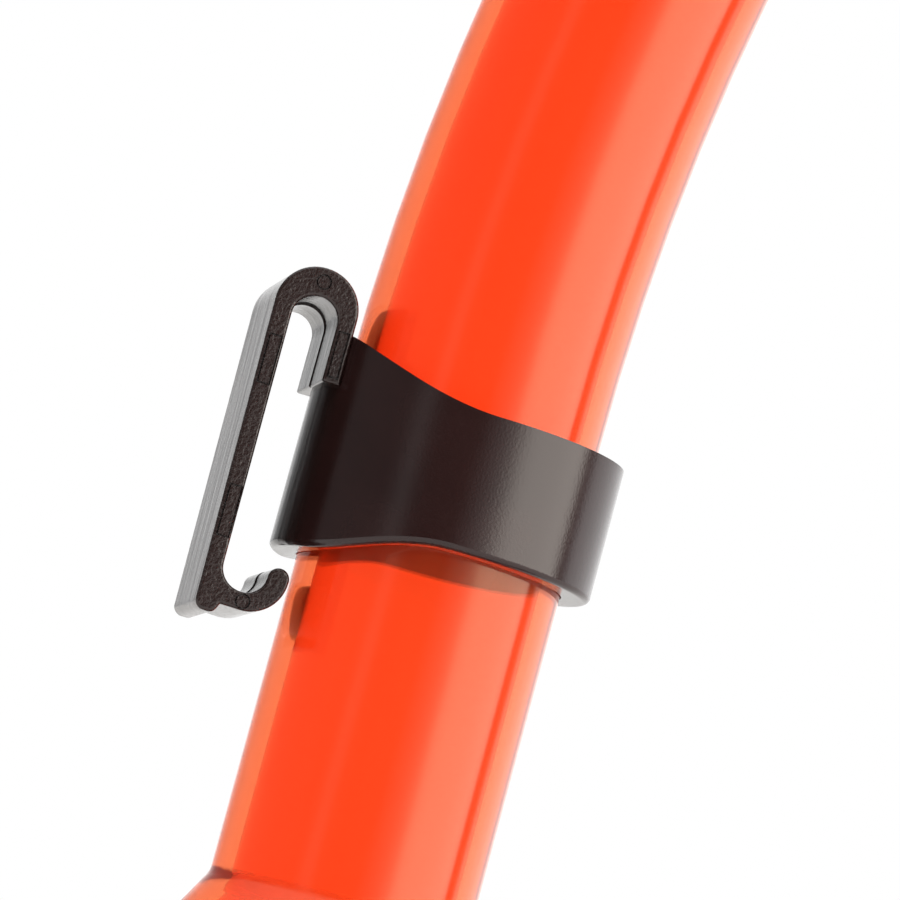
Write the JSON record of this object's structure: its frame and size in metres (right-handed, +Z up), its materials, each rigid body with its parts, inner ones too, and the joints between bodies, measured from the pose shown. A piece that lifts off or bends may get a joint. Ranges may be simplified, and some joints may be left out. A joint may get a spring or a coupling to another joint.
{
  "type": "snorkel tube",
  "caption": "Bent orange snorkel tube with a clip-on black strap keeper, a float-valve dry top, and a swivelling lower chamber with mouthpiece and purge valve.",
  "frame": {"origin": "middle of the flat face under the purge cover, on the axis of the tube's straight lower stretch", "axes": "+Z up that stretch of tube; +X towards the mouthpiece and the bend; the strap hook points to -X"},
  "size_m": [0.1647, 0.06, 0.3761],
  "materials": {
    "tube_orange": "glossy, slightly see-through fluorescent orange",
    "keeper_black": "satin moulded black with a fine grain",
    "body_black": "satin moulded black",
    "tie_black": "smooth nylon black",
    "seal_rubber": "black rubber",
    "valve_white": "white moulded plastic",
    "float_white": "white moulded plastic",
    "flap_silicone": "milky silicone",
    "mouthpiece_silicone": "soft black silicone",
    "shroud_orange": "glossy orange",
    "pin_steel": "stainless steel"
  },
  "bodies": {
    "tube": {"main_tube": "tube_orange", "dry_top_base": "body_black", "top_seal": "seal_rubber", "hinge_pin": "pin_steel", "top_shroud": "shroud_orange", "top_cap": "body_black"},
    "keeper": {"strap_keeper": "keeper_black"},
    "lower_unit": {"purge_chamber": "body_black", "swivel_ring": "body_black", "socket_seal": "seal_rubber", "purge_seat": "valve_white", "purge_seat_gasket": "seal_rubber", "purge_cover": "body_black", "mouthpiece": "mouthpiece_silicone", "mouthpiece_tie": "tie_black"},
    "flap": {"purge_flap": "flap_silicone"},
    "float": {"float_lever": "valve_white", "float_body": "float_white", "float_lid": "float_white", "valve_flap": "flap_silicone"}
  },
  "joints": [
    {"name": "keeper_swivel", "type": "hinge", "parent": "tube", "child": "keeper", "pos_m": [0, 0, 0.12], "axis": [0, 0, 1], "continuous": true},
    {"name": "lower_unit_swivel", "type": "hinge", "parent": "tube", "child": "lower_unit", "pos_m": [0, 0, 0.06], "axis": [0, 0, 1], "continuous": true},
    {"name": "purge_flap_lift", "type": "slide", "parent": "lower_unit", "child": "flap", "axis": [0, 0, -1], "range_m": [0, 0.0012], "stiffness_N_per_m": 20, "springref_m": -0.002},
    {"name": "float_swing", "type": "hinge", "parent": "tube", "child": "float", "pos_m": [0.11446, 0, 0.34285], "axis": [0, -1, 0], "range_deg": [0, 22]}
  ]
}
